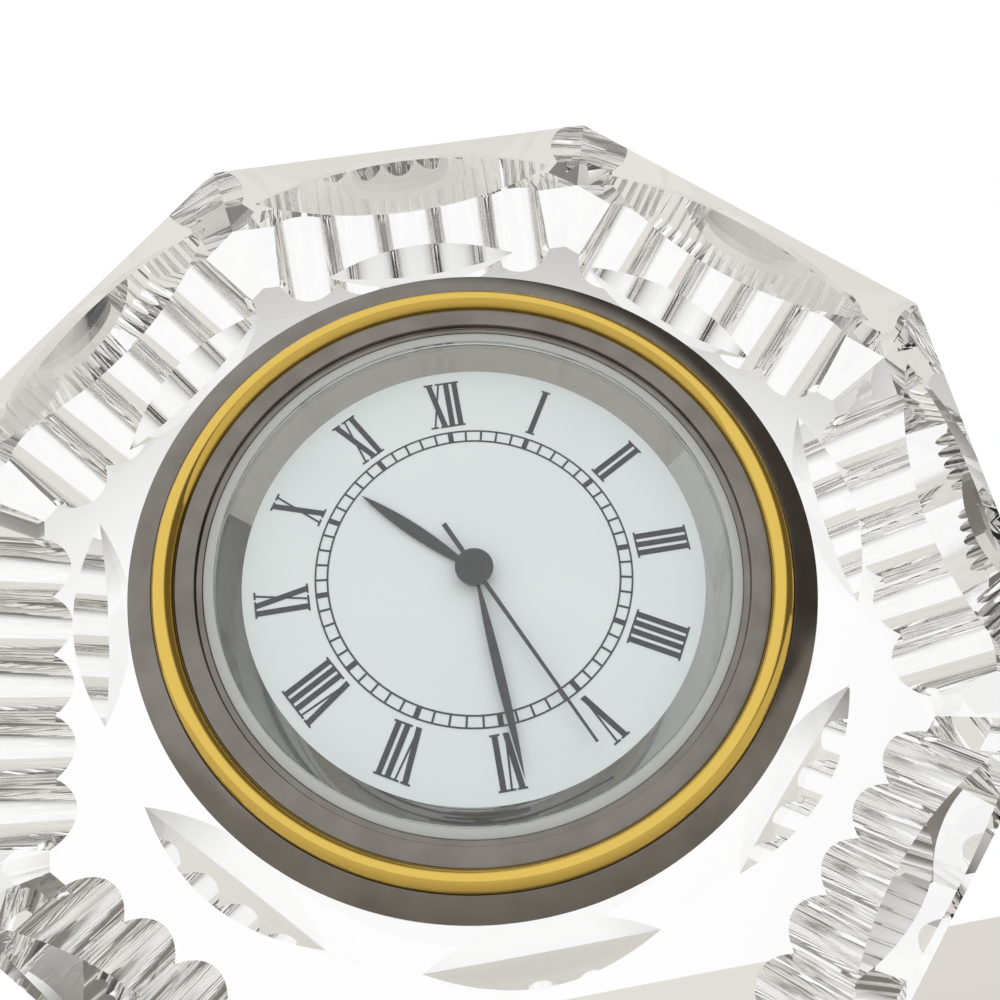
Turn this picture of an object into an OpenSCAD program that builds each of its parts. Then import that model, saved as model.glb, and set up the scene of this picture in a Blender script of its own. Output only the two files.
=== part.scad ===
// Desk clock: an eight-sided cut crystal block with a quartz insert pressed into a blind bore.
// The block stands on the flat under the 6. X is to the right of the dial, Y points away from
// the viewer and Z is up. The origin is the middle of the space that the clock stands on.
// Pieces are drawn lying face up, with their axis on Z and the block's front face at height 0.

/* [Crystal block] */
// Size of the block across two opposite flats
block_af = 66.4; // [62:0.2:72]
// Height of the straight side wall behind the front face
wall_d = 12.4; // [11:0.2:14]
// Full thickness of the block
block_t = 17; // [15.6:0.2:20]
// How far the slope behind the wall runs inward
slope_in = 3.7; // [3:0.1:4.5]
// Space left in the blind bore behind the insert
bore_spare = 0.5; // [0.2:0.1:1.5]

/* [Crystal cuts] */
// Length of the large lens cut in each side wall
side_lens_len = 23; // [20:0.2:24]
// Width of the large lens cut
side_lens_w = 9.6; // [8:0.2:10]
// Depth of the large lens cut
side_lens_depth = 2.6; // [1.5:0.1:3]
// Strip of wall left between the large lens cut and the slope
side_lens_edge = 0.3; // [0.2:0.1:1]
// Length of the small lens cut on the front, one for each flat
front_lens_len = 13; // [11:0.2:14]
// Width of the small lens cut
front_lens_w = 3.5; // [3:0.1:3.8]
// Depth of the small lens cut
front_lens_depth = 1.2; // [0.8:0.1:1.5]
// Distance from the bezel's rim to the middle of the small lens cut
front_lens_gap = 1.6; // [1.4:0.1:2.4]
// Flutes on the slope behind each side wall
flutes_per_side = 5; // [3:1:5]
// Radius of a flute
flute_r = 2.8; // [2.6:0.1:3]
// Distance between flutes
flute_pitch = 4.25; // [4:0.05:4.4]
// Depth of a flute below the slope at the wall
flute_depth = 0.9; // [0.6:0.1:1]
// Angle between a flute's floor and the slope
flute_tilt = 4; // [0:1:6]

/* [Bezel] */
// Width of the steel flange outside the gold ring
flange_w = 1.5; // [1:0.1:2]
// Height of the bezel at its outer edge
bezel_rim_h = 0.45; // [0.3:0.05:0.6]
// Height of the bezel beside the gold ring
bezel_top_h = 0.9; // [0.7:0.05:1]
// Width of the gold ring
gold_w = 1.36; // [1.1:0.02:1.5]
// Height of the gold ring's crown
gold_h = 1.42; // [1.2:0.02:1.6]
// Width of the land inside the gold ring
land_w = 1.19; // [0.9:0.01:1.4]
// Distance that the land's opening stands outside the gasket
land_step = 0.4; // [0.2:0.05:0.5]
// Wall of the bezel between the gasket and the insert's case
skirt_w = 0.31; // [0.25:0.01:0.4]
// Height of the land where it meets the glass
land_h = 0.66; // [0.5:0.02:0.75]

/* [Glass and rehaut] */
// Thickness of the cover glass
glass_t = 0.9; // [0.7:0.05:1]
// Height of the glass top above the block's front face
glass_top = 0.3; // [0.2:0.02:0.4]
// Wall of the gasket round the glass
gasket_w = 0.65; // [0.5:0.05:0.8]
// Distance that the sloped ring runs inward from the glass to the dial
rehaut_w = 1.38; // [1.1:0.02:1.6]

/* [Dial] */
// Depth of the dial's face behind the block's front face
dial_at = 1.8; // [1.75:0.01:1.85]
// Thickness of the dial
dial_t = 0.4; // [0.3:0.05:0.45]
// Thickness of the print on the dial
print_t = 0.03; // [0.02:0.01:0.05]
// Width of the minute track
track_w = 0.86; // [0.7:0.02:1]
// Space between the minute track and the numerals
track_gap = 0.38; // [0.2:0.02:0.5]
// Width of the track's two lines
track_line = 0.11; // [0.08:0.01:0.15]
// Width of a minute mark
minute_mark = 0.13; // [0.1:0.01:0.16]
// Width of an hour mark
hour_mark = 0.34; // [0.25:0.01:0.4]
// Space between the numerals and the sloped ring
numeral_gap = 0.74; // [0.5:0.02:1]
// Height of the numerals
numeral_h = 3.4; // [3.1:0.05:3.5]
// Width of a numeral's thick stroke
thick = 0.36; // [0.28:0.01:0.42]
// Width of a numeral's thin stroke
thin = 0.12; // [0.1:0.01:0.16]

/* [Hands] */
// Time shown: hours
time_h = 10; // [0:1:11]
// Time shown: minutes
time_m = 29; // [0:1:59]
// Time shown: seconds
time_s = 26; // [0:1:59]
// Length of the hour hand
hour_len = 8.9; // [8:0.1:9.4]
// Widest part of the hour hand
hour_w = 0.84; // [0.6:0.02:1]
// Length of the minute hand
minute_len = 13.4; // [12.8:0.1:13.8]
// Widest part of the minute hand
minute_w = 0.58; // [0.4:0.02:0.8]
// Length of the second hand
second_len = 13.1; // [12.5:0.1:13.6]
// Length of the second hand's tail
second_tail = 3.5; // [3:0.1:4]
// Diameter of the round cap at the middle
cap_d = 2.4; // [2.1:0.05:2.6]
// Thickness of the hour and minute hands
hand_t = 0.15; // [0.12:0.01:0.16]
// Gap between one hand and the next
hand_gap = 0.12; // [0.1:0.01:0.13]

/* [Insert case] */
// Wall of the insert's case
case_wall = 0.34; // [0.3:0.01:0.4]
// Thickness of the rubber band over its ribs, with its clearance in the bore
band_t = 0.8; // [0.6:0.05:1]
// Thickness of the rubber band between its ribs
band_base_t = 0.35; // [0.2:0.05:0.45]
// Thickness of the case back
back_t = 0.45; // [0.4:0.05:0.5]
// Ribs on the rubber band round the case
band_ribs = 4; // [3:1:5]

/* [Movement] */
// Radius of the train bridge
bridge_r = 4.3; // [4.1:0.1:4.5]
// Edge of the main plate left outside the button cell
plate_edge = 0.4; // [0.3:0.1:0.6]
// Width of the nylon ring that centres the movement in the case
ring_w = 2.26; // [1.8:0.02:2.6]
// Thickness of the main plate
plate_t = 0.85; // [0.7:0.05:0.9]
// Height of the wheel train between the plate and the bridge
train_h = 1.7; // [1.6:0.05:1.8]
// Thickness of the train bridge
bridge_t = 0.5; // [0.4:0.05:0.55]
// Thickness of a train wheel
wheel_t = 0.2; // [0.15:0.01:0.24]
// Diameter of the button cell
cell_d = 9.5; // [9.3:0.1:9.7]
// Height of the button cell
cell_h = 2.05; // [1.9:0.05:2.1]
// Diameter of the crown
crown_d = 2.4; // [2.2:0.1:2.4]
// Length of the crown
crown_len = 1.6; // [1.4:0.1:1.7]
// Travel of the crown when it is pulled to set the hands
crown_pull = 0.7; // [0.5:0.05:0.75]
// Diameter of the setting stem
stem_d = 0.7; // [0.6:0.05:0.75]

/* [Fits] */
// Clearance of the insert's rubber band in the bore
bore_fit = 0.04; // [0.02:0.01:0.08]
// Clearance between parts that are pressed or snapped together
snug = 0.01; // [0.01:0.005:0.03]
// Clearance of a shaft in its hole
run_fit = 0.04; // [0.03:0.01:0.06]
// Clearance between the tips of two wheels that run together
mesh_fit = 0.03; // [0.02:0.01:0.05]
// Gap under the bezel where it rests on the block
seat_gap = 0.02; // [0.01:0.01:0.05]
// Space between the button cell and the train bridge
cell_gap = 0.2; // [0.1:0.05:0.4]
// Clearance round the nylon ring, to the plate and to the case
ring_fit = 0.1; // [0.05:0.01:0.15]
// Clearance between stacked layers of the movement
layer_fit = 0.06; // [0.04:0.01:0.08]

/* [Hidden] */
$fn = 96;

// Block
block_r = block_af / 2;
slope_angle = atan(slope_in / (block_t - wall_d));
slope_len = norm([slope_in, block_t - wall_d]);
face_y = -(block_t - gold_h) / 2;
side_lens_at = wall_d - side_lens_edge - side_lens_w / 2;

// Radii of the insert, from the movement out to the bore
cell_at = bridge_r + cell_gap + cell_d / 2;
plate_r = cell_at + cell_d / 2 + plate_edge;
ring_in_r = plate_r + ring_fit;
ring_r = ring_in_r + ring_w;
case_in_r = ring_r + ring_fit;
case_r = case_in_r + case_wall;
band_base_r = case_r + band_base_t;
bore_r = case_r + band_t;

// Radii of the front, from the gasket in to the track and out to the bezel's rim
gasket_r = case_in_r - skirt_w;
glass_r = gasket_r - gasket_w;
rehaut_r = glass_r - rehaut_w;
numeral_at = rehaut_r - numeral_gap - numeral_h / 2;
track_out_r = numeral_at - numeral_h / 2 - track_gap;
track_in_r = track_out_r - track_w;
dial_r = gasket_r - 0.15;
land_r = gasket_r + land_step;
gold_in_r = land_r + land_w;
gold_r = gold_in_r + gold_w;
bezel_r = gold_r + flange_w;
front_lens_at = bezel_r + front_lens_gap;

// Heights of the stack from the front, all behind the front face where negative
gold_foot = 0.25;
groove_floor = gold_h - gold_w / 2 - gold_foot;
glass_bottom = glass_top - glass_t;
dial_top = -dial_at;
dial_bottom = dial_top - dial_t;
hour_z = dial_top + hand_gap;
minute_z = hour_z + hand_t + hand_gap;
second_z = minute_z + hand_t + hand_gap;
second_t = 0.12;
cap_h = 0.22;

// Angles of the hands, clockwise from 12
second_a = 6 * time_s;
minute_a = 6 * (time_m + time_s / 60);
hour_a = 30 * (time_h + (time_m + time_s / 60) / 60);

// Movement, from the dial side to the back
work_top = dial_bottom - 0.12;
work_step = 0.4;
cannon_z = work_top - 2 * work_step;
plate_top = cannon_z - 0.12;
plate_bottom = plate_top - plate_t;
bridge_top = plate_bottom - train_h;
bridge_bottom = bridge_top - bridge_t;
centre_z = plate_bottom - 0.1 - wheel_t;
third_z = centre_z - 0.7;
fourth_z = third_z - 0.35;
inter_z = centre_z - 0.47;
bridge_arm_w = 2.2;
rotor_boss_r = 2.2;
arbor_r = 0.16;
seconds_r = 0.22;
tube_wall = 0.2;
tube_r = seconds_r + run_fit + tube_wall;
pipe_r = tube_r + run_fit + tube_wall;

// Teeth and pitch radii of the two trains
third_at = 3.4;
third_dir = 200;
centre_teeth = 64;
third_pinion_teeth = 8;
third_teeth = 60;
fourth_pinion_teeth = 8;
inter_at = 3.5;
inter_dir = 320;
fourth_teeth = 40;
inter_pinion_teeth = 8;
rotor_at = 2.73;
inter_teeth = 36;
rotor_pinion_teeth = 6;
work_at = 3.6;
work_dir = 0;
minute_teeth = 36;
cannon_teeth = 12;
hour_teeth = 40;
minute_pinion_teeth = 10;

// Places of the electric parts
coil_at = 10.4;
coil_len = 8.6;
coil_r = 1.25;
core_t = 0.4;
core_w = 1.4;
core_end = 2;
core_z = plate_bottom - 0.54 - core_t;
rotor_r = 1;
rotor_hole_r = rotor_r + 0.25;
stator_t = 0.4;
stator_z = plate_bottom - 0.1 - stator_t;
stator_reach = inter_at + rotor_at;
stator_pole = 2;
stator_end = 1.2;
stator_arm_w = 2.4;
notch_end = 0.4;
notch_w = 1.6;
window_wall = 2.1;
window_fit = 0.15;
cell_dir = 100;
cell_top = plate_bottom - layer_fit;
cell_bottom = cell_top - cell_h;
board_t = 0.2;
board_w = 5.4;
board_edge = 0.4;
board_z = bridge_bottom - 0.05 - board_t;
can_r = 0.75;
can_len = 5;
can_at = 11;
can_dir = 232;
can_z = plate_bottom - layer_fit - can_r;
clamp_t = 0.2;
clamp_w = 2;
clamp_end = 3.4;
clamp_head_r = 1.1;
clamp_z = cell_bottom - 0.04 - clamp_t;
stem_z = plate_top - plate_t / 2;
crown_out = bore_r - crown_pull - 0.15;
crown_in = crown_out - crown_len;
lever_x = 9.3;
lever_t = 0.3;
groove_r = stem_d / 2 - 0.14;
ring_bottom = bridge_bottom;

// Screws: distance from the axis, direction and height of the head's seat
bridge_screw_at = bridge_r + 3.3;
board_screw_at = plate_r - 2;
clamp_screw_at = plate_r - 1.5;
screw_places = [
    [bridge_screw_at, 30, bridge_bottom], [bridge_screw_at, 178, bridge_bottom],
    [board_screw_at, 205, board_z], [clamp_screw_at, 62, clamp_z]
];
screw_r = 0.45;
screw_shank_r = 0.31;
screw_slot_w = 0.2;
screw_slot_d = 0.1;
screw_hole_r = screw_r + 0.05;
screw_head_r = 0.8;
screw_head_h = 0.25;

// Back of the insert, behind the deepest screw head
insulator_t = 0.1;
insulator_z = min(board_z, clamp_z) - screw_head_h - layer_fit - insulator_t;
case_back_z = insulator_z - 0.1;
case_depth = back_t - case_back_z;
bore_depth = case_depth + bore_spare;
band_top = -0.6;
band_bottom = case_back_z + 0.5;

// Middle of the cell and the run from it to the clamp's screw
cell_xy = cell_at * [cos(cell_dir), sin(cell_dir)];
clamp_run = screw_places[3][0] * [cos(screw_places[3][1]), sin(screw_places[3][1])] - cell_xy;

function pitch_r(dist, teeth, other) = dist * teeth / (teeth + other);

// Puts a piece drawn face up into the standing block
module placed() {
    translate([0, face_y, block_r])
        rotate([90, 0, 0])
            children();
}

// Turns a piece drawn pointing to 12 clockwise to an angle on the dial
module clock_turn(angle) {
    rotate([0, 0, -angle])
        children();
}

module ring(outer, inner, low, high) {
    translate([0, 0, low])
        difference() {
            cylinder(h = high - low, r = outer);
            translate([0, 0, -1])
                cylinder(h = high - low + 2, r = inner);
        }
}

module flat_ring(outer, inner) {
    difference() {
        circle(r = outer);
        circle(r = inner);
    }
}

module disc(radius, low, high) {
    translate([0, 0, low])
        cylinder(h = high - low, r = radius);
}

// Wheel with a sharp V edge, standing for the path of a cutting wheel
module v_wheel(length, width, depth) {
    wheel_r = (length * length / 4 + depth * depth) / (2 * depth);
    half_h = wheel_r * width / (2 * depth);
    translate([0, 0, wheel_r - depth])
        rotate([0, 90, 0])
            rotate_extrude($fn = 180)
                polygon([[0, -half_h], [wheel_r, 0], [0, half_h]]);
}

module side_cut() {
    translate([block_r, 0, -side_lens_at])
        rotate([0, 90, 0])
            v_wheel(side_lens_len, side_lens_w, side_lens_depth);
}

module front_cut() {
    translate([front_lens_at, 0, 0])
        v_wheel(front_lens_len, front_lens_w, front_lens_depth);
}

// Everything outside the slope behind one side wall
module slope_cut() {
    translate([block_r, 0, -wall_d])
        rotate([0, slope_angle, 0])
            translate([0, -block_r, -block_af])
                cube(block_af);
}

// Flutes that cut an arch into the wall and run a little deeper toward the back
module flute_cuts() {
    translate([block_r, 0, -wall_d])
        rotate([0, slope_angle, 0])
            for (i = [0 : flutes_per_side - 1])
                translate([-flute_depth, (i - (flutes_per_side - 1) / 2) * flute_pitch, 0])
                    rotate([0, flute_tilt, 0])
                        translate([flute_r, 0, -slope_len * 2])
                            cylinder(h = slope_len * 4, r = flute_r, $fn = 48);
}

module crystal_block() {
    color("lightcyan", 0.6)
        placed()
            difference() {
                translate([0, 0, -block_t])
                    rotate([0, 0, 22.5])
                        cylinder(h = block_t, r = block_r / cos(22.5), $fn = 8);
                translate([0, 0, -bore_depth])
                    cylinder(h = bore_depth + 1, r = bore_r);
                for (i = [0 : 7])
                    rotate([0, 0, 45 * i]) {
                        side_cut();
                        front_cut();
                        slope_cut();
                        flute_cuts();
                    }
            }
}

module bezel() {
    color("slategray")
        placed()
            rotate_extrude()
                polygon([
                    [bezel_r, seat_gap],
                    [bezel_r, bezel_rim_h],
                    [gold_r + snug, bezel_top_h],
                    [gold_r + snug, groove_floor],
                    [gold_in_r - snug, groove_floor],
                    [gold_in_r - snug, land_h + 0.1],
                    [land_r, land_h],
                    [land_r, glass_top - 0.08],
                    [gasket_r + snug, glass_top - 0.08],
                    [gasket_r + snug, dial_top + 0.1],
                    [case_in_r - snug, dial_top + 0.1],
                    [case_in_r - snug, seat_gap]
                ]);
}

module gold_ring() {
    color("goldenrod")
        placed()
            rotate_extrude()
                translate([gold_r - gold_w / 2, gold_h - gold_w / 2])
                    intersection() {
                        union() {
                            circle(d = gold_w);
                            translate([-gold_w / 2, -gold_foot])
                                square([gold_w, gold_foot]);
                        }
                        translate([-gold_w / 2, -gold_foot])
                            square([gold_w, gold_w / 2 + gold_foot]);
                    }
}

module cover_glass() {
    color("white", 0.3)
        placed()
            disc(glass_r, glass_bottom, glass_top);
}

module glass_gasket() {
    color("whitesmoke")
        placed()
            ring(gasket_r, glass_r + snug, glass_bottom, glass_top - 0.1);
}

module rehaut_ring() {
    color("silver")
        placed()
            rotate_extrude()
                polygon([
                    [rehaut_r, dial_top],
                    [gasket_r - snug, dial_top],
                    [gasket_r - snug, glass_bottom],
                    [glass_r, glass_bottom]
                ]);
}

module dial() {
    color("azure")
        placed()
            difference() {
                union() {
                    disc(dial_r, dial_bottom, dial_top);
                    for (a = [60, 240])
                        rotate([0, 0, a])
                            translate([plate_r - 1, 0, plate_top - 0.4])
                                cylinder(h = dial_bottom - plate_top + 0.5, r = 0.35);
                }
                disc(pipe_r + 0.1, dial_bottom - 1, dial_top + 1);
            }
}

// One straight stroke of a numeral
module stroke(x1, y1, x2, y2, width) {
    translate([x1, y1])
        rotate([0, 0, atan2(y2 - y1, x2 - x1)])
            translate([-width, -width / 2])
                square([norm([x2 - x1, y2 - y1]) + 2 * width, width]);
}

module serif(x, y, width) {
    translate([x - width / 2, y - (y > 0 ? thin : 0)])
        square([width, thin]);
}

i_step = thick * 1.56;
v_step = thick * 2.9;
x_step = thick * 3.05;
function step_of(c) = c == "I" ? i_step : c == "V" ? v_step : x_step;
function width_to(s, n) = n == 0 ? 0 : step_of(s[n - 1]) + width_to(s, n - 1);

module glyph(c) {
    half = numeral_h / 2;
    lean = step_of(c) / 2 - thick * 0.55;
    short = thick * 1.7;
    intersection() {
        union() {
            if (c == "I") {
                stroke(0, -half, 0, half, thick);
                serif(0, half, short);
                serif(0, -half, short);
            }
            if (c == "V") {
                stroke(-lean, half, thin, -half, thick);
                stroke(lean, half, thin, -half, thin);
                serif(-lean, half, short);
                serif(lean, half, short * 0.8);
            }
            if (c == "X") {
                stroke(-lean, half, lean, -half, thick);
                stroke(lean, half, -lean, -half, thin);
                serif(-lean, half, short);
                serif(lean, half, short * 0.8);
                serif(-lean, -half, short * 0.8);
                serif(lean, -half, short);
            }
        }
        square([2 * numeral_h, numeral_h], center = true);
    }
}

module numeral(s) {
    for (n = [0 : len(s) - 1])
        translate([width_to(s, n) + step_of(s[n]) / 2 - width_to(s, len(s)) / 2, 0])
            glyph(s[n]);
}

hour_names = ["XII", "I", "II", "III", "IIII", "V", "VI", "VII", "VIII", "IX", "X", "XI"];

module dial_numerals() {
    color("darkslategray")
        placed()
            translate([0, 0, dial_top])
                linear_extrude(print_t)
                    for (h = [0 : 11])
                        rotate([0, 0, -30 * h])
                            translate([0, numeral_at])
                                numeral(hour_names[h]);
}

function mark_w(m) = m % 5 == 0 ? hour_mark : minute_mark;

module minute_track() {
    mark_from = track_in_r + track_line / 2;
    mark_to = track_out_r - track_line / 2;
    color("darkslategray")
        placed()
            translate([0, 0, dial_top])
                linear_extrude(print_t) {
                    flat_ring(track_out_r, track_out_r - track_line);
                    flat_ring(track_in_r + track_line, track_in_r);
                    for (m = [0 : 59])
                        rotate([0, 0, 6 * m])
                            translate([mark_from, -mark_w(m) / 2])
                                square([mark_to - mark_from, mark_w(m)]);
                }
}

// Leaf with two pointed ends, its edges following a parabola
module leaf(length, width) {
    steps = 20;
    side = [for (i = [0 : steps]) let (t = 2 * i / steps - 1) [(1 - t * t) * width / 2, length * i / steps]];
    back = [for (i = [steps - 1 : -1 : 1]) [-side[i][0], side[i][1]]];
    polygon(concat(side, back));
}

module leaf_hand(length, width, hub_r, hole_r) {
    linear_extrude(hand_t)
        difference() {
            union() {
                leaf(length, width);
                circle(r = hub_r);
            }
            circle(r = hole_r);
        }
}

module hour_hand() {
    color("darkslategray")
        placed()
            translate([0, 0, hour_z])
                clock_turn(hour_a)
                    leaf_hand(hour_len, hour_w, pipe_r + 0.35, pipe_r + snug);
}

module minute_hand() {
    color("darkslategray")
        placed()
            translate([0, 0, minute_z])
                clock_turn(minute_a)
                    leaf_hand(minute_len, minute_w, tube_r + 0.4, tube_r + snug);
}

module second_hand() {
    tip_w = 0.16;
    color("darkslategray")
        placed()
            clock_turn(second_a)
                difference() {
                    union() {
                        disc(cap_d / 2, second_z, second_z + cap_h);
                        translate([0, 0, second_z])
                            linear_extrude(second_t)
                                polygon([
                                    [-tip_w / 2, second_len],
                                    [-tip_w, -second_tail],
                                    [tip_w, -second_tail],
                                    [tip_w / 2, second_len]
                                ]);
                    }
                    disc(seconds_r + snug, second_z - 1, second_z + second_t);
                }
}

// Opening for the crown through the case, the ring and the band
module crown_way(radius) {
    translate([plate_r - 0.4, 0, stem_z])
        rotate([0, 90, 0])
            cylinder(h = bore_r, r = radius, $fn = 48);
}

module case_body() {
    color("silver")
        placed()
            difference() {
                ring(case_r, case_in_r, case_back_z + snug, 0);
                crown_way(crown_d / 2 + 0.15);
            }
}

module case_back() {
    color("silver")
        placed()
            difference() {
                union() {
                    disc(case_r, -case_depth, case_back_z);
                    ring(case_in_r - snug, case_in_r - 0.5, case_back_z - 0.01, case_back_z + 0.4);
                }
                translate([case_r + 0.6, 0, -case_depth - 1])
                    cylinder(h = 1.25, r = 2, $fn = 48);
            }
}

module fit_up_band() {
    rib_step = (band_top - band_bottom) / band_ribs;
    rib_w = rib_step * 0.45;
    color("dimgray")
        placed()
            difference() {
                union() {
                    ring(band_base_r, case_r + snug, band_bottom, band_top);
                    for (i = [0 : band_ribs - 1])
                        translate([0, 0, i * rib_step])
                            ring(bore_r - bore_fit, case_r + snug, band_bottom, band_bottom + rib_w);
                }
                crown_way(crown_d / 2 + 0.3);
            }
}

module movement_ring() {
    color("white")
        placed()
            difference() {
                ring(ring_r, ring_in_r, ring_bottom, dial_bottom);
                crown_way(crown_d / 2 + 0.15);
            }
}

// Flat toothed disc that leaves a clear gap at its tips
module gear(teeth, radius, bore) {
    tip = radius - mesh_fit / 2;
    root = tip - radius * 3.4 / teeth;
    part = 360 / teeth;
    difference() {
        polygon([
            for (i = [0 : teeth - 1], k = [0 : 3])
                let (r = k == 1 || k == 2 ? tip : root, a = part * (i + [0, 0.18, 0.42, 0.6][k]))
                    [r * cos(a), r * sin(a)]
        ]);
        if (bore > 0)
            circle(r = bore, $fn = 32);
    }
}

// Wheel with five round windows
module train_wheel(teeth, radius, bore) {
    linear_extrude(wheel_t)
        difference() {
            gear(teeth, radius, bore);
            for (i = [0 : 4])
                rotate([0, 0, 72 * i])
                    translate([radius * 0.52, 0])
                        circle(r = radius * 0.2, $fn = 32);
        }
}

module at(dist, direction) {
    rotate([0, 0, direction])
        translate([dist, 0, 0])
            children();
}

module at_rotor() {
    at(inter_at + rotor_at, inter_dir)
        children();
}

module main_plate() {
    color("gainsboro")
        placed()
            difference() {
                union() {
                    disc(plate_r, plate_bottom, plate_top);
                    at(work_at, work_dir)
                        disc(arbor_r + 0.14, plate_top - 0.1, work_top - 0.05);
                }
                disc(tube_r + run_fit, plate_bottom - 1, plate_top + 1);
                at(third_at, third_dir)
                    disc(arbor_r + run_fit, plate_bottom - 1, plate_bottom + 0.4);
                at(inter_at, inter_dir)
                    disc(arbor_r + run_fit, plate_bottom - 1, plate_bottom + 0.4);
                at_rotor()
                    disc(arbor_r + run_fit, plate_bottom - 1, plate_bottom + 0.4);
                for (a = [60, 240])
                    rotate([0, 0, a])
                        translate([plate_r - 1, 0, plate_top - 0.5])
                            cylinder(h = 1, r = 0.4, $fn = 32);
                translate([work_at + minute_r + 0.4, -stem_d / 2 - 0.06, stem_z - stem_d / 2 - 0.06])
                    cube([plate_r, stem_d + 0.12, plate_t * 2]);
                for (s = screw_places)
                    at(s[0], s[1])
                        disc(screw_r - 0.12, plate_bottom - 1, plate_bottom + 0.5);
            }
}

centre_r = pitch_r(third_at, centre_teeth, third_pinion_teeth);
third_pinion_r = third_at - centre_r;
third_r = pitch_r(third_at, third_teeth, fourth_pinion_teeth);
fourth_pinion_r = third_at - third_r;
fourth_r = pitch_r(inter_at, fourth_teeth, inter_pinion_teeth);
inter_pinion_r = inter_at - fourth_r;
inter_r = pitch_r(rotor_at, inter_teeth, rotor_pinion_teeth);
rotor_pinion_r = rotor_at - inter_r;
minute_r = pitch_r(work_at, minute_teeth, cannon_teeth);
cannon_r = work_at - minute_r;
hour_r = pitch_r(work_at, hour_teeth, minute_pinion_teeth);
minute_pinion_r = work_at - hour_r;

module pinion(teeth, radius, height) {
    linear_extrude(height)
        gear(teeth, radius, 0);
}

module hour_wheel() {
    color("gold")
        placed() {
            translate([0, 0, work_top - work_step])
                linear_extrude(work_step - 0.05)
                    gear(hour_teeth, hour_r, tube_r + run_fit);
            ring(pipe_r, tube_r + run_fit, work_top - work_step, hour_z + hand_t);
        }
}

module cannon_pinion() {
    color("gold")
        placed() {
            translate([0, 0, cannon_z])
                linear_extrude(work_step - 0.1)
                    gear(cannon_teeth, cannon_r, tube_r - snug * 2);
            ring(tube_r, seconds_r + run_fit, cannon_z, minute_z + hand_t);
        }
}

module centre_wheel() {
    color("gold")
        placed() {
            translate([0, 0, centre_z])
                train_wheel(centre_teeth, centre_r, seconds_r + run_fit);
            ring(tube_r, seconds_r + run_fit, centre_z, cannon_z - snug);
        }
}

module minute_wheel() {
    color("ivory")
        placed()
            at(work_at, work_dir)
                difference() {
                    union() {
                        translate([0, 0, cannon_z])
                            linear_extrude(work_step - 0.1)
                                gear(minute_teeth, minute_r, 0);
                        translate([0, 0, cannon_z])
                            pinion(minute_pinion_teeth, minute_pinion_r, work_top - 0.07 - cannon_z);
                    }
                    disc(arbor_r + 0.14 + run_fit, cannon_z - 1, work_top + 1);
                }
}

module third_wheel() {
    color("gold")
        placed()
            at(third_at, third_dir) {
                translate([0, 0, third_z])
                    train_wheel(third_teeth, third_r, arbor_r - snug);
                translate([0, 0, centre_z - 0.05])
                    pinion(third_pinion_teeth, third_pinion_r, wheel_t + 0.1);
                disc(arbor_r, bridge_top - 0.25, plate_bottom + 0.3);
            }
}

module fourth_wheel() {
    color("gold")
        placed() {
            translate([0, 0, fourth_z])
                train_wheel(fourth_teeth, fourth_r, seconds_r - snug);
            translate([0, 0, third_z - 0.05])
                pinion(fourth_pinion_teeth, fourth_pinion_r, wheel_t + 0.1);
            disc(seconds_r, bridge_top - 0.25, second_z + second_t - 0.01);
        }
}

module intermediate_wheel() {
    color("ivory")
        placed()
            at(inter_at, inter_dir) {
                translate([0, 0, inter_z])
                    train_wheel(inter_teeth, inter_r, arbor_r - snug);
                translate([0, 0, fourth_z - 0.05])
                    pinion(inter_pinion_teeth, inter_pinion_r, wheel_t + 0.1);
                disc(arbor_r, bridge_top - 0.25, plate_bottom + 0.3);
            }
}

module rotor() {
    color("dimgray")
        placed()
            at_rotor() {
                disc(rotor_r, plate_bottom - 0.5, plate_bottom - 0.14);
                translate([0, 0, inter_z - 0.05])
                    pinion(rotor_pinion_teeth, rotor_pinion_r, plate_bottom - 0.4 - inter_z);
                disc(arbor_r, bridge_top - 0.25, plate_bottom + 0.3);
            }
}

module stator() {
    arm_at = coil_len / 2;
    color("slategray")
        placed()
            at(0, inter_dir)
                difference() {
                    translate([stator_reach - stator_pole, -arm_at - stator_arm_w, stator_z])
                        cube([
                            coil_at + stator_end - stator_reach + stator_pole,
                            2 * (arm_at + stator_arm_w),
                            stator_t
                        ]);
                    translate([stator_reach + window_wall, -arm_at - window_fit, stator_z - 1])
                        cube([coil_at, 2 * (arm_at + window_fit), stator_t + 2]);
                    translate([stator_reach, 0, stator_z - 1])
                        cylinder(h = stator_t + 2, r = rotor_hole_r, $fn = 48);
                    for (side = [-1, 1])
                        translate([stator_reach + notch_end - coil_at, side * (arm_at - notch_w + coil_len), stator_z - 1])
                            translate([0, -coil_len, 0])
                                cube([coil_at, 2 * coil_len, stator_t + 2]);
                }
}

module coil() {
    color("sienna")
        placed()
            at(coil_at, inter_dir) {
                translate([0, coil_len / 2, core_z + core_t / 2])
                    rotate([90, 0, 0])
                        intersection() {
                            cylinder(h = coil_len, r = coil_r, $fn = 48);
                            translate([-coil_r, -coil_r, 0])
                                cube([2 * coil_r, coil_r + core_t / 2 + 0.4, coil_len]);
                        }
                translate([-core_w / 2, -coil_len / 2 - core_end, core_z])
                    cube([core_w, coil_len + 2 * core_end, core_t]);
            }
}

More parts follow.
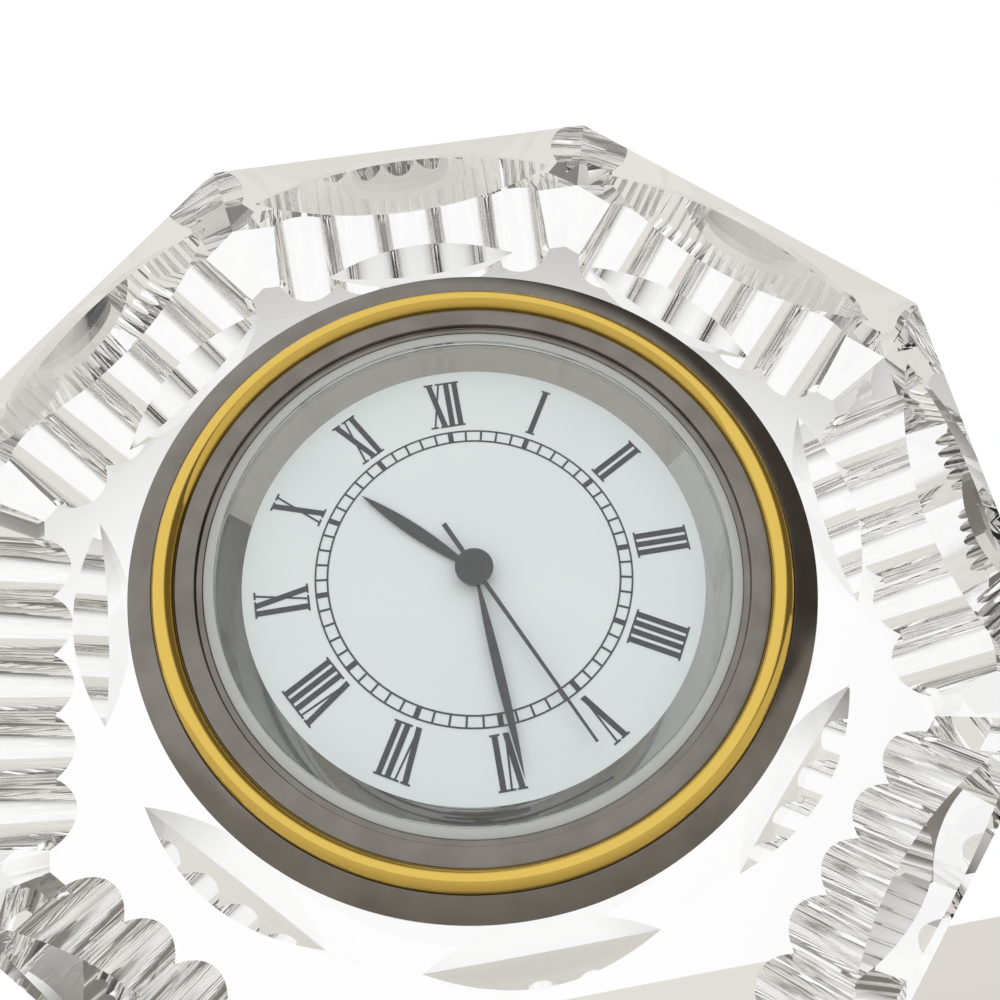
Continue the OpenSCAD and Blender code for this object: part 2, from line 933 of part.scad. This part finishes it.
module train_bridge() {
    color("gainsboro")
        placed()
            difference() {
                union() {
                    disc(bridge_r, bridge_bottom, bridge_top);
                    at_rotor()
                        disc(rotor_boss_r, bridge_bottom, bridge_top);
                    for (s = [screw_places[0], screw_places[1]])
                        at(0, s[1])
                            translate([0, -bridge_arm_w / 2, bridge_bottom])
                                cube([s[0], bridge_arm_w, bridge_t]);
                    for (s = [screw_places[0], screw_places[1]])
                        at(s[0], s[1])
                            disc(bridge_arm_w / 2, bridge_bottom, plate_bottom - 0.02);
                }
                disc(seconds_r + run_fit, bridge_top - 0.35, bridge_top + 1);
                for (p = [[third_at, third_dir], [inter_at, inter_dir], [stator_reach, inter_dir]])
                    at(p[0], p[1])
                        disc(arbor_r + run_fit, bridge_top - 0.35, bridge_top + 1);
                for (s = [screw_places[0], screw_places[1]])
                    at(s[0], s[1])
                        disc(screw_hole_r, bridge_bottom - 1, plate_bottom + 1);
            }
}

module circuit_board() {
    color("seagreen")
        placed()
            difference() {
                intersection() {
                    ring(plate_r - board_edge, plate_r - board_edge - board_w, board_z, board_z + board_t);
                    at(0, 186)
                        translate([0, 0, board_z - 1])
                            cube([plate_r, plate_r, 3]);
                }
                at(screw_places[2][0], screw_places[2][1])
                    disc(screw_hole_r, board_z - 1, board_z + 1);
            }
}

module quartz_crystal() {
    color("silver")
        placed()
            at(can_at, can_dir)
                translate([0, can_len / 2, can_z])
                    rotate([90, 0, 0])
                        cylinder(h = can_len, r = can_r, $fn = 48);
}

module button_cell() {
    color("lightgray")
        placed()
            at(cell_at, cell_dir) {
                disc(cell_d / 2, cell_bottom, cell_top - 0.3);
                disc(cell_d / 2 - 0.7, cell_bottom, cell_top);
            }
}

module battery_clamp() {
    color("silver")
        placed()
            difference() {
                union() {
                    translate([cell_xy[0], cell_xy[1], clamp_z])
                        rotate([0, 0, atan2(clamp_run[1], clamp_run[0])])
                            linear_extrude(clamp_t) {
                                translate([-clamp_end, -clamp_w / 2])
                                    square([norm(clamp_run) + clamp_end, clamp_w]);
                                translate([norm(clamp_run), 0])
                                    circle(r = clamp_head_r);
                            }
                    at(screw_places[3][0], screw_places[3][1])
                        disc(0.75, clamp_z + clamp_t / 2, plate_bottom - 0.02);
                }
                at(screw_places[3][0], screw_places[3][1])
                    disc(screw_hole_r, clamp_z - 1, plate_bottom + 1);
            }
}

module back_insulator() {
    color("beige")
        placed()
            disc(plate_r, insulator_z, insulator_z + insulator_t);
}

module setting_stem() {
    inner_end = work_at + minute_r + 0.9;
    color("silver")
        placed()
            difference() {
                translate([inner_end, 0, stem_z])
                    rotate([0, 90, 0])
                        cylinder(h = crown_in + 0.6 - inner_end, r = stem_d / 2, $fn = 40);
                translate([lever_x - run_fit, 0, stem_z])
                    rotate([0, 90, 0])
                        ring(stem_d, groove_r, 0, lever_t + 2 * run_fit);
            }
}

// Fork that rides in the stem's groove and slides with it
module setting_lever() {
    fork_w = stem_d;
    slot_w = 2 * (groove_r + run_fit);
    color("silver")
        placed() {
            translate([lever_x - 0.6, -1.5, plate_top + 0.04])
                cube([2.2, 3, 0.25]);
            difference() {
                translate([lever_x, -fork_w / 2, stem_z - stem_d / 2])
                    cube([lever_t, fork_w, plate_top + 0.05 - stem_z + stem_d / 2]);
                translate([lever_x - 1, -slot_w / 2, stem_z - stem_d])
                    cube([2, slot_w, stem_d]);
                translate([lever_x - 1, 0, stem_z])
                    rotate([0, 90, 0])
                        cylinder(h = 2, r = slot_w / 2, $fn = 40);
            }
        }
}

module crown() {
    color("silver")
        placed()
            translate([crown_in, 0, stem_z])
                rotate([0, 90, 0])
                    difference() {
                        cylinder(h = crown_len, r = crown_d / 2, $fn = 40);
                        translate([0, 0, -1])
                            cylinder(h = 1.6 + snug, r = stem_d / 2 + snug, $fn = 40);
                        for (i = [0 : 15])
                            rotate([0, 0, 22.5 * i])
                                translate([crown_d / 2, 0, 0.25])
                                    cylinder(h = crown_len, r = 0.12, $fn = 16);
                    }
}

module screws() {
    color("silver")
        placed()
            for (s = screw_places)
                at(s[0], s[1])
                    difference() {
                        union() {
                            disc(screw_head_r, s[2] - screw_head_h, s[2]);
                            disc(screw_shank_r, s[2] - 0.01, plate_bottom + 0.4);
                        }
                        translate([-1, -screw_slot_w / 2, s[2] - screw_head_h - 1])
                            cube([2, screw_slot_w, 1 + screw_slot_d]);
                    }
}

crystal_block();
bezel();
gold_ring();
cover_glass();
glass_gasket();
rehaut_ring();
dial();
dial_numerals();
minute_track();
hour_hand();
minute_hand();
second_hand();
case_body();
case_back();
fit_up_band();
movement_ring();
main_plate();
train_bridge();
hour_wheel();
cannon_pinion();
centre_wheel();
minute_wheel();
third_wheel();
fourth_wheel();
intermediate_wheel();
rotor();
stator();
coil();
circuit_board();
quartz_crystal();
button_cell();
battery_clamp();
back_insulator();
setting_stem();
setting_lever();
crown();
screws();
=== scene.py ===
import math
import bpy
from mathutils import Matrix, Vector


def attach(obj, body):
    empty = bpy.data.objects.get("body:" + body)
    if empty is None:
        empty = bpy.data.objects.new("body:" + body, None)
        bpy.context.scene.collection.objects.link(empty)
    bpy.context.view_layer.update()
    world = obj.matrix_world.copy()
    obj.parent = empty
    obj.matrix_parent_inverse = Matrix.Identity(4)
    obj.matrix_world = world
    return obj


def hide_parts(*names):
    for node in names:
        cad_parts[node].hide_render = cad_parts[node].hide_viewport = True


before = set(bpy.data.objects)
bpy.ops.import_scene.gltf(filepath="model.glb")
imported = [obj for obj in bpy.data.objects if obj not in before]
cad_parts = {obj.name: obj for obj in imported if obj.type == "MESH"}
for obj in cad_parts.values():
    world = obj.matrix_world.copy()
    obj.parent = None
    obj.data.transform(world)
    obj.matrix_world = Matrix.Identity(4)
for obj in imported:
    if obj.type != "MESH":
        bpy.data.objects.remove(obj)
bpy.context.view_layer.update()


# Crystal block, of pressed and wheel-cut lead crystal. It is thick and eight-sided, with a straight
# wall and a slope behind it. Each wall has a large pointed lens cut and a small one on the face
# beside it, each slope has five flutes, and a blind bore takes the insert.
MM_PER_M = 1000
SIDES = 8
SIDE_TURN = 360 / SIDES
BLOCK_R = 33.2
BLOCK_T = 17
WALL_D = 12.4
SLOPE_IN = 3.7
FACE_Y = -7.79
BORE_R = 18
BORE_DEPTH = 8
BORE_LEAD = 2
# Length, width and depth of a lens cut
SIDE_LENS = (23, 9.6, 2.6)
FRONT_LENS = (13, 3.5, 1.2)
# The large lens's place behind the face, and the small one's from the dial's axis
SIDE_LENS_AT = 7.3
FRONT_LENS_AT = 22.6
FLUTE_R = 2.8
FLUTE_LENGTH = 24
FLUTE_STEPS = (-2, -1, 0, 1, 2)
FLUTE_PITCH = 4.25
FLUTE_DEPTH = 0.9
FLUTE_TILT = 4
WHEEL_FACES = 320
FLUTE_FACES = 128
BORE_FACES = 256
WELD = 0.001
SHARP_CUT_ABOVE = 12
CRYSTAL_TINT = (0.985, 0.99, 0.985, 1)
CRYSTAL_INDEX = 1.55


def pick(piece):
    """Makes this piece the only one that is selected."""
    bpy.ops.object.select_all(action="DESELECT")
    piece.select_set(True)
    bpy.context.view_layer.objects.active = piece


def named(name):
    """The piece that was just added, with its name."""
    piece = bpy.context.object
    piece.name = piece.data.name = name
    return piece


def shaped(piece, kind, **settings):
    """Adds a modifier and applies it."""
    pick(piece)
    modifier = piece.modifiers.new(kind, kind)
    for key, value in settings.items():
        setattr(modifier, key, value)
    bpy.ops.object.modifier_apply(modifier=modifier.name)


def cut_away(piece, cutter, place):
    """Takes a copy of the cutter, put in its place, out of the piece."""
    tool = cutter.copy()
    tool.data = cutter.data.copy()
    bpy.context.scene.collection.objects.link(tool)
    tool.matrix_world = place
    shaped(piece, "BOOLEAN", operation="DIFFERENCE", solver="EXACT", object=tool)
    bpy.data.objects.remove(tool)


def stood_up(piece):
    """Pieces are made in millimetres, lying face up. This stands one up in its place, in metres."""
    pick(piece)
    up = Matrix.Rotation(math.pi / 2, 4, "X")
    in_metres = Matrix.Scale(1 / MM_PER_M, 4) @ Matrix.Translation((0, FACE_Y, BLOCK_R))
    piece.matrix_world = in_metres @ up @ piece.matrix_world
    bpy.ops.object.transform_apply()
    return piece


def v_wheel(length, width, depth):
    """A wheel with a sharp V edge that cuts a pointed lens of this size, and the wheel's radius."""
    radius = (length * length / 4 + depth * depth) / (2 * depth)
    half = radius * width / (2 * depth)
    flank = {"vertices": WHEEL_FACES, "radius1": radius, "radius2": 0, "depth": half}
    bpy.ops.object.select_all(action="DESELECT")
    bpy.ops.mesh.primitive_cone_add(**flank, end_fill_type="NOTHING", location=(0, 0, half / 2))
    top = named("flank")
    bpy.ops.mesh.primitive_cone_add(
        **flank, end_fill_type="NOTHING", location=(0, 0, -half / 2), rotation=(math.pi, 0, 0),
    )
    top.select_set(True)
    bpy.ops.object.join()
    wheel = named("wheel")
    bpy.ops.object.transform_apply()
    bpy.ops.object.mode_set(mode="EDIT")
    bpy.ops.mesh.select_all(action="SELECT")
    bpy.ops.mesh.remove_doubles(threshold=WELD)
    bpy.ops.mesh.normals_make_consistent(inside=False)
    bpy.ops.object.mode_set(mode="OBJECT")
    bpy.ops.object.shade_smooth()
    return wheel, radius


bpy.ops.object.select_all(action="DESELECT")
bpy.ops.mesh.primitive_cylinder_add(
    vertices=SIDES, radius=BLOCK_R / math.cos(math.pi / SIDES), depth=BLOCK_T,
    location=(0, 0, -BLOCK_T / 2), rotation=(0, 0, math.pi / SIDES),
)
block = named("crystal")
bpy.ops.object.transform_apply()
bpy.ops.object.mode_set(mode="EDIT")
slope = math.atan(SLOPE_IN / (BLOCK_T - WALL_D))
for side in range(SIDES):
    turn = math.radians(SIDE_TURN * side)
    across, along = math.cos(turn), math.sin(turn)
    outward = (across * math.cos(slope), along * math.cos(slope), -math.sin(slope))
    on_edge = (across * BLOCK_R, along * BLOCK_R, -WALL_D)
    bpy.ops.mesh.select_all(action="SELECT")
    bpy.ops.mesh.bisect(plane_co=on_edge, plane_no=outward, use_fill=True, clear_outer=True)
bpy.ops.object.mode_set(mode="OBJECT")

side_wheel, side_r = v_wheel(*SIDE_LENS)
front_wheel, front_r = v_wheel(*FRONT_LENS)
bpy.ops.mesh.primitive_cylinder_add(vertices=FLUTE_FACES, radius=FLUTE_R, depth=FLUTE_LENGTH)
bpy.ops.object.shade_smooth()
flute = named("flute")
bpy.ops.mesh.primitive_cylinder_add(
    vertices=BORE_FACES, radius=BORE_R, depth=BORE_DEPTH + BORE_LEAD,
    location=(0, 0, (BORE_LEAD - BORE_DEPTH) / 2),
)
bpy.ops.object.shade_smooth()
bore = named("bore")

side_at = Matrix.Translation((BLOCK_R + side_r - SIDE_LENS[2], 0, -SIDE_LENS_AT))
front_at = Matrix.Translation((FRONT_LENS_AT, 0, front_r - FRONT_LENS[2]))
front_turn = Matrix.Rotation(math.pi / 2, 4, "Y")
flute_turn = Matrix.Rotation(math.radians(FLUTE_TILT), 4, "Y")
for side in range(SIDES):
    turn = Matrix.Rotation(math.radians(SIDE_TURN * side), 4, "Z")
    cut_away(block, side_wheel, turn @ side_at)
    cut_away(block, front_wheel, turn @ front_at @ front_turn)
    on_slope = turn @ Matrix.Translation((BLOCK_R, 0, -WALL_D)) @ Matrix.Rotation(slope, 4, "Y")
    for step in FLUTE_STEPS:
        tilted = Matrix.Translation((-FLUTE_DEPTH, step * FLUTE_PITCH, 0)) @ flute_turn
        cut_away(block, flute, on_slope @ tilted @ Matrix.Translation((FLUTE_R, 0, 0)))
cut_away(block, bore, bore.matrix_world.copy())
for cutter in (side_wheel, front_wheel, flute, bore):
    bpy.data.objects.remove(cutter)
pick(block)
bpy.ops.object.shade_smooth_by_angle(angle=math.radians(SHARP_CUT_ABOVE))
stood_up(block)


class Shade:
    """A socket of a material's nodes, so that shader maths is written as an expression."""

    def __init__(self, tree, socket=None):
        self.tree = tree
        self.socket = socket

    def node(self, kind, settings=None, sockets=None, output=0):
        """Adds a node: its settings first, then its sockets' values or links."""
        made = self.tree.nodes.new(kind)
        for key, value in (settings or {}).items():
            setattr(made, key, value)
        for key, value in (sockets or {}).items():
            if isinstance(value, Shade):
                self.tree.links.new(value.socket, made.inputs[key])
            else:
                made.inputs[key].default_value = value
        return Shade(self.tree, made.outputs[output] if made.outputs else None)

    def maths(self, operation, first, second):
        """Adds a Math node of two values."""
        return self.node("ShaderNodeMath", {"operation": operation}, {0: first, 1: second})

    def __add__(self, other):
        return self.maths("ADD", self, other)

    __radd__ = __add__

    def __mul__(self, other):
        return self.maths("MULTIPLY", self, other)

    __rmul__ = __mul__


def finish_of(name):
    """An empty material and the start of its nodes."""
    material = bpy.data.materials.new(name)
    material.use_nodes = True
    material.node_tree.nodes.clear()
    return material, Shade(material.node_tree)


def place_of(shade, size=1.0):
    """Object coordinates in millimetres, divided by size."""
    at = shade.node("ShaderNodeTexCoord", output="Object")
    return shade.node("ShaderNodeMapping", {}, {"Vector": at, "Scale": (MM_PER_M / size,) * 3})


def noise(shade, at, detail):
    """Soft noise with features one unit wide."""
    return shade.node("ShaderNodeTexNoise", {}, {"Vector": at, "Scale": 1.0, "Detail": detail})


def grain(shade, size, detail=3.0):
    """Soft noise with features of this size in millimetres."""
    return noise(shade, place_of(shade, size), detail)


def bumped(shade, height, depth):
    """A normal that follows a height, with its depth in millimetres."""
    sockets = {"Height": height, "Strength": 1.0, "Distance": depth / MM_PER_M}
    return shade.node("ShaderNodeBump", {}, sockets)


def coated(shade, **sockets):
    """Ends a material with its surface."""
    named_sockets = {key.replace("_", " "): value for key, value in sockets.items()}
    surface = shade.node("ShaderNodeBsdfPrincipled", {}, named_sockets)
    shade.node("ShaderNodeOutputMaterial", {}, {"Surface": surface})


def dressed(piece, material, body, slot, *nodes):
    """Gives a piece its material, and has it ride and stand for its CAD nodes."""
    piece.data.materials.clear()
    piece.data.materials.append(material)
    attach(piece, body)
    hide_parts(*nodes)


crystal, shade = finish_of("lead_crystal")
coated(
    shade, Base_Color=CRYSTAL_TINT, Roughness=0.0, IOR=CRYSTAL_INDEX, Transmission_Weight=1.0,
    Normal=bumped(shade, grain(shade, size=6.0, detail=1.0), depth=0.002),
)
dressed(block, crystal, "block", "crystal", "crystal_block")


# Insert case, a shallow spun steel can that holds the movement. A snapped back with a notch to
# open it closes the can, and a soft ribbed rubber band round it grips the bore.
CASE_GREY = (0.66, 0.65, 0.63, 1)
BRUSH_LINES = (0.6, 14.0, 0.6)
BAND_BLACK = (0.16, 0.16, 0.17, 1)


def finished(material, *nodes):
    """Gives its material to CAD nodes, which keep their own shape."""
    for node in nodes:
        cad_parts[node].data.materials[0] = material


case_steel, shade = finish_of("case_steel")
brushed = shade.node("ShaderNodeMapping", {}, {"Vector": place_of(shade), "Scale": BRUSH_LINES})
lines = noise(shade, brushed, detail=4.0)
coated(
    shade, Base_Color=CASE_GREY, Metallic=1.0, Roughness=0.22 + lines * 0.16,
    Normal=bumped(shade, lines, depth=0.004),
)
finished(case_steel, "case_body", "case_back")

band_rubber, shade = finish_of("band_rubber")
coated(
    shade, Base_Color=BAND_BLACK, Roughness=0.45 + grain(shade, size=1.5) * 0.2,
    Normal=bumped(shade, grain(shade, size=0.3), depth=0.01),
)
finished(band_rubber, "fit_up_band")


# Movement, a plain quartz one that the dial and the case back hide. A moulded ring holds its plate,
# train, stepping motor, board and cell. Each finish has a colour, metal or not, a roughness and
# the pieces that have it.
MOVEMENT = {
    "white_nylon": ((0.80, 0.80, 0.77), 0, 0.45, ["movement_ring"]),
    "plate_steel": ((0.62, 0.62, 0.60), 1, 0.35, ["main_plate", "train_bridge"]),
    "wheel_brass": ((0.80, 0.60, 0.25), 1, 0.28, [
        "hour_wheel", "cannon_pinion", "centre_wheel", "third_wheel", "fourth_wheel",
    ]),
    "wheel_plastic": ((0.85, 0.83, 0.75), 0, 0.40, ["minute_wheel", "intermediate_wheel"]),
    "rotor_magnet": ((0.16, 0.16, 0.17), 1, 0.50, ["rotor"]),
    "stator_iron": ((0.45, 0.45, 0.46), 1, 0.42, ["stator"]),
    "coil_copper": ((0.72, 0.30, 0.14), 1, 0.30, ["coil"]),
    "board_green": ((0.05, 0.25, 0.12), 0, 0.40, ["circuit_board"]),
    "can_steel": ((0.70, 0.70, 0.70), 1, 0.25, [
        "quartz_crystal", "button_cell", "battery_clamp", "setting_stem", "setting_lever", "crown",
        "screws",
    ]),
    "clear_film": ((0.80, 0.74, 0.58), 0, 0.35, ["back_insulator"]),
}
SPOT_DARKENING = 0.8


def two_tone(shade, share, first, second):
    """A colour between two: the first where the share is 0, the second where it is 1."""
    sockets = {0: share, 6: first, 7: second}
    return shade.node("ShaderNodeMix", {"data_type": "RGBA"}, sockets, output=2)


for name, (colour, metal, rough, nodes) in MOVEMENT.items():
    material, shade = finish_of(name)
    spots = grain(shade, size=0.8)
    darker = tuple(SPOT_DARKENING * part for part in colour)
    coated(
        shade, Base_Color=two_tone(shade, spots, (*darker, 1), (*colour, 1)), Metallic=float(metal),
        Roughness=rough + spots * 0.12, Normal=bumped(shade, grain(shade, size=0.25), depth=0.003),
    )
    finished(material, *nodes)


# Dial, a thin disc lacquered a cool white, with dark slate print on it: plain numerals and a
# minute track.
DIAL_SHADED = (0.84, 0.92, 0.95, 1)
DIAL_BRIGHT = (0.91, 0.965, 0.98, 1)
PRINT_SLATE = (0.010, 0.018, 0.022, 1)

dial_white, shade = finish_of("dial_white")
cloud = grain(shade, size=9.0, detail=1.0)
coated(
    shade, Base_Color=two_tone(shade, cloud, DIAL_SHADED, DIAL_BRIGHT),
    Roughness=0.42 + grain(shade, size=0.2) * 0.1,
    Normal=bumped(shade, grain(shade, size=0.12), depth=0.001),
)
finished(dial_white, "dial")

print_ink, shade = finish_of("dial_print")
coated(shade, Base_Color=PRINT_SLATE, Roughness=0.38 + grain(shade, size=0.1) * 0.2)
finished(print_ink, "dial_numerals", "minute_track")


# Hands, pressed from thin sheet and lacquered dark slate. The second hand carries the round cap
# in the middle.
HAND_SLATE = (0.008, 0.014, 0.016, 1)

hand_dark, shade = finish_of("hand_lacquer")
coated(
    shade, Base_Color=HAND_SLATE, Roughness=0.25 + grain(shade, size=0.3) * 0.15,
    Specular_IOR_Level=0.6,
)
finished(hand_dark, "hour_hand", "minute_hand", "second_hand")


# Rehaut, gasket and glass. A polished sloped ring leads from the dial out to the flat mineral
# glass, and a pale nylon gasket holds the glass in the bezel. Each section is a list of radius
# and height from the block's face, and the glass's inner ring keeps its faces' shading flat.
RIM_SECTION = [(14.52, -1.8), (16.54, -1.8), (16.54, -0.6), (15.9, -0.6)]
GASKET_SECTION = [(15.91, -0.6), (16.55, -0.6), (16.55, 0.2), (15.91, 0.2)]
GLASS_SECTION = [(15.8, -0.6), (15.9, -0.6), (15.9, 0.3), (15.8, 0.3)]
GLASS_ROUNDING = 0.08
TURNED_FACES = 240
ROUNDING_STEPS = 3
ROUNDED_ABOVE = 25
SHARP_ABOVE = 35
RIM_GREY = (0.38, 0.38, 0.36, 1)
GASKET_PALE = (0.55, 0.57, 0.55, 1)
GLASS_TINT = (0.99, 1.0, 0.995, 1)
GLASS_INDEX = 1.5
PANE_TINT = (0.99, 1.0, 1.0, 1)


def turned(name, section, solid=False, rounding=0.0):
    """A ring, or a solid disc, drawn out of a circle along its section."""
    radius, height = section[0]
    bpy.ops.object.select_all(action="DESELECT")
    bpy.ops.mesh.primitive_circle_add(
        vertices=TURNED_FACES, radius=radius, location=(0, 0, height),
    )
    piece = named(name)
    bpy.ops.object.transform_apply()
    bpy.ops.object.mode_set(mode="EDIT")
    bpy.ops.mesh.select_mode(type="EDGE")
    bpy.ops.mesh.select_all(action="SELECT")
    for next_radius, next_height in section[1:]:
        bpy.ops.mesh.extrude_edges_move()
        wider = next_radius / radius
        bpy.ops.transform.resize(value=(wider, wider, 1), center_override=(0, 0, 0))
        bpy.ops.transform.translate(value=(0, 0, next_height - height))
        radius, height = next_radius, next_height
    bpy.ops.mesh.select_all(action="DESELECT")
    bpy.ops.mesh.select_non_manifold()
    if solid:
        bpy.ops.mesh.fill_holes(sides=0)
    else:
        bpy.ops.mesh.bridge_edge_loops()
    bpy.ops.mesh.select_all(action="SELECT")
    bpy.ops.mesh.normals_make_consistent(inside=False)
    bpy.ops.object.mode_set(mode="OBJECT")
    if rounding:
        shaped(
            piece, "BEVEL", width=rounding, segments=ROUNDING_STEPS, limit_method="ANGLE",
            angle_limit=math.radians(ROUNDED_ABOVE),
        )
    bpy.ops.object.shade_smooth_by_angle(angle=math.radians(SHARP_ABOVE))
    return piece


def ray(shade, kind):
    """1 for a ray of this kind, 0 for any other."""
    return shade.node("ShaderNodeLightPath", output=kind)


rehaut = stood_up(turned("rehaut", RIM_SECTION))
rim_steel, shade = finish_of("rehaut_polish")
coated(
    shade, Base_Color=RIM_GREY, Metallic=1.0, Roughness=0.02 + grain(shade, size=3.0) * 0.03,
)
dressed(rehaut, rim_steel, "insert", "mirror_steel", "rehaut_ring")

gasket = stood_up(turned("gasket", GASKET_SECTION, rounding=GLASS_ROUNDING))
gasket_white, shade = finish_of("gasket_nylon")
coated(shade, Base_Color=GASKET_PALE, Roughness=0.35 + grain(shade, size=0.5) * 0.15)
dressed(gasket, gasket_white, "insert", "white_nylon", "glass_gasket")

glass = stood_up(turned("glass", GLASS_SECTION, solid=True, rounding=GLASS_ROUNDING))
clear_glass, shade = finish_of("mineral_glass")
# The dial is lit as if the pane were open
light_through = ray(shade, "Is Diffuse Ray") + ray(shade, "Is Shadow Ray")
polished = shade.node("ShaderNodeBsdfPrincipled", {}, {
    "Base Color": GLASS_TINT, "Roughness": 0.0, "IOR": GLASS_INDEX, "Specular IOR Level": 0.2,
    "Transmission Weight": 1.0,
    "Normal": bumped(shade, grain(shade, size=12.0, detail=0.0), depth=0.001),
})
open_pane = shade.node("ShaderNodeBsdfTransparent", {}, {"Color": PANE_TINT})
pane = shade.node("ShaderNodeMixShader", {}, {0: light_through, 1: polished, 2: open_pane})
shade.node("ShaderNodeOutputMaterial", {}, {"Surface": pane})
dressed(glass, clear_glass, "insert", "cover_glass", "cover_glass")


# Bezel and gold ring. The bezel is turned and polished steel. Its warm dark grey, mottled at
# random, is painted dark reflection. A gilt half-round ring is pressed into its groove.
BEZEL_SECTION = [
    (21, 0.02), (21, 0.45), (19.51, 0.9), (19.51, 0.49), (18.13, 0.49), (18.13, 0.76),
    (16.95, 0.66), (16.95, 0.22), (16.56, 0.22), (16.56, -1.7), (16.85, -1.7), (16.85, 0.02),
]
BEZEL_ROUNDING = 0.05
# Both bezel tones are painted dark reflection, far darker than bare steel, mixed at random
BEZEL_PAINTED_DARK_REFLECTION = (0.15, 0.135, 0.115, 1)
BEZEL_BRIGHT = (0.29, 0.27, 0.25, 1)
GOLD_MID = 18.82
GOLD_R = 0.68
GOLD_FOOT = 0.49
GOLD_CENTRE = 0.74
HALF_TURN = 180
GOLD_STEP = 12
GILT_YELLOW = (0.76, 0.53, 0.12, 1)

bezel = stood_up(turned("bezel_ring", BEZEL_SECTION, rounding=BEZEL_ROUNDING))
bezel_steel, shade = finish_of("bezel_steel")
haze = grain(shade, size=2.5)
coated(
    shade, Base_Color=two_tone(shade, haze, BEZEL_PAINTED_DARK_REFLECTION, BEZEL_BRIGHT), Metallic=1.0,
    Roughness=0.12 + haze * 0.10, Normal=bumped(shade, grain(shade, size=0.4), depth=0.002),
)
dressed(bezel, bezel_steel, "insert", "steel", "bezel")

gold_section = [(GOLD_MID + GOLD_R, GOLD_FOOT)]
for step in range(0, HALF_TURN + 1, GOLD_STEP):
    across, up = math.cos(math.radians(step)), math.sin(math.radians(step))
    gold_section.append((GOLD_MID + GOLD_R * across, GOLD_CENTRE + GOLD_R * up))
gold_section.append((GOLD_MID - GOLD_R, GOLD_FOOT))
gold = stood_up(turned("gilt_ring", gold_section))
gilt, shade = finish_of("gilt")
coated(
    shade, Base_Color=GILT_YELLOW, Metallic=1.0, Roughness=0.05 + grain(shade, size=1.2) * 0.05,
)
dressed(gold, gilt, "insert", "gold", "gold_ring")


# Floor, light and view, in metres. A plain pale table, soft even light from all round, and the
# camera close in front of the dial. Metal and crystal see white behind the clock and at the upper
# left in front of it, and a darker room elsewhere, which gives them their contrast.
WHITE = (1, 1, 1, 1)
FLOOR_SIZE = 12
FLOOR_PALE = (0.66, 0.63, 0.58, 1)
FLOOR_GLOW = 0.06
LIGHT_FROM = Vector((-0.5, -0.7, 0.5)).normalized()
LIGHT_EDGE = (0.36, 0.68)
ROOM_DARK = (0.17, 0.15, 0.13, 1)
BEHIND_EDGE = (0.7, 0.9)
CAMERA_LENS = 40.32
CAMERA_SENSOR = 36
CAMERA_NEAR = 0.001
CAMERA_AT = (-0.003259, -0.072186, 0.008176)
CAMERA_TURN = (114.497, 9.889, -0.469)

bpy.ops.object.select_all(action="DESELECT")
bpy.ops.mesh.primitive_plane_add(size=FLOOR_SIZE)
floor = named("floor")
floor_finish, shade = finish_of("floor")
glossy_or_clear = ray(shade, "Is Glossy Ray") + ray(shade, "Is Transmission Ray")
to_eye = ray(shade, "Is Camera Ray") + glossy_or_clear
matt = shade.node("ShaderNodeBsdfDiffuse", {}, {"Color": FLOOR_PALE})
glow = shade.node("ShaderNodeEmission", {}, {"Color": WHITE, "Strength": FLOOR_GLOW * to_eye})
table = shade.node("ShaderNodeAddShader", {}, {0: matt, 1: glow})
shade.node("ShaderNodeOutputMaterial", {}, {"Surface": table})
floor.data.materials.append(floor_finish)

world = bpy.data.worlds.new("studio")
bpy.context.scene.world = world
world.use_nodes = True
world.node_tree.nodes.clear()
shade = Shade(world.node_tree)
way = shade.node("ShaderNodeTexCoord", output="Generated")
toward_light = shade.node(
    "ShaderNodeVectorMath", {"operation": "DOT_PRODUCT"}, {0: way, 1: LIGHT_FROM}, output="Value",
)
lit = shade.node(
    "ShaderNodeMapRange", {"interpolation_type": "SMOOTHSTEP"},
    {"Value": toward_light, "From Min": LIGHT_EDGE[0], "From Max": LIGHT_EDGE[1]},
)
ahead = shade.node("ShaderNodeSeparateXYZ", {}, {0: way}, output="Y")
behind = shade.node(
    "ShaderNodeMapRange", {},
    {"Value": ahead, "From Min": BEHIND_EDGE[0], "From Max": BEHIND_EDGE[1]},
)
room = two_tone(shade, behind, two_tone(shade, lit, ROOM_DARK, WHITE), WHITE)
to_camera = ray(shade, "Is Camera Ray")
glossy_or_clear = ray(shade, "Is Glossy Ray") + ray(shade, "Is Transmission Ray")
shown = two_tone(shade, to_camera, room, WHITE)
seen = shade.node(
    "ShaderNodeMath", {"operation": "ADD", "use_clamp": True}, {0: to_camera, 1: glossy_or_clear},
)
soft = shade.node("ShaderNodeBackground", {}, {"Color": WHITE, "Strength": 1.0})
plain = shade.node("ShaderNodeBackground", {}, {"Color": shown, "Strength": 1.0})
studio = shade.node("ShaderNodeMixShader", {}, {0: seen, 1: soft, 2: plain})
shade.node("ShaderNodeOutputWorld", {}, {"Surface": studio})

scene = bpy.context.scene
scene.view_settings.view_transform = "Standard"
scene.cycles.max_bounces = 32
scene.cycles.transmission_bounces = 32
scene.cycles.glossy_bounces = 12
scene.cycles.transparent_max_bounces = 16

camera_data = bpy.data.cameras.new("camera")
camera_data.lens = CAMERA_LENS
camera_data.sensor_width = CAMERA_SENSOR
camera_data.clip_start = CAMERA_NEAR
camera = bpy.data.objects.new("camera", camera_data)
scene.collection.objects.link(camera)
camera.location = CAMERA_AT
camera.rotation_euler = tuple(map(math.radians, CAMERA_TURN))
scene.camera = camera
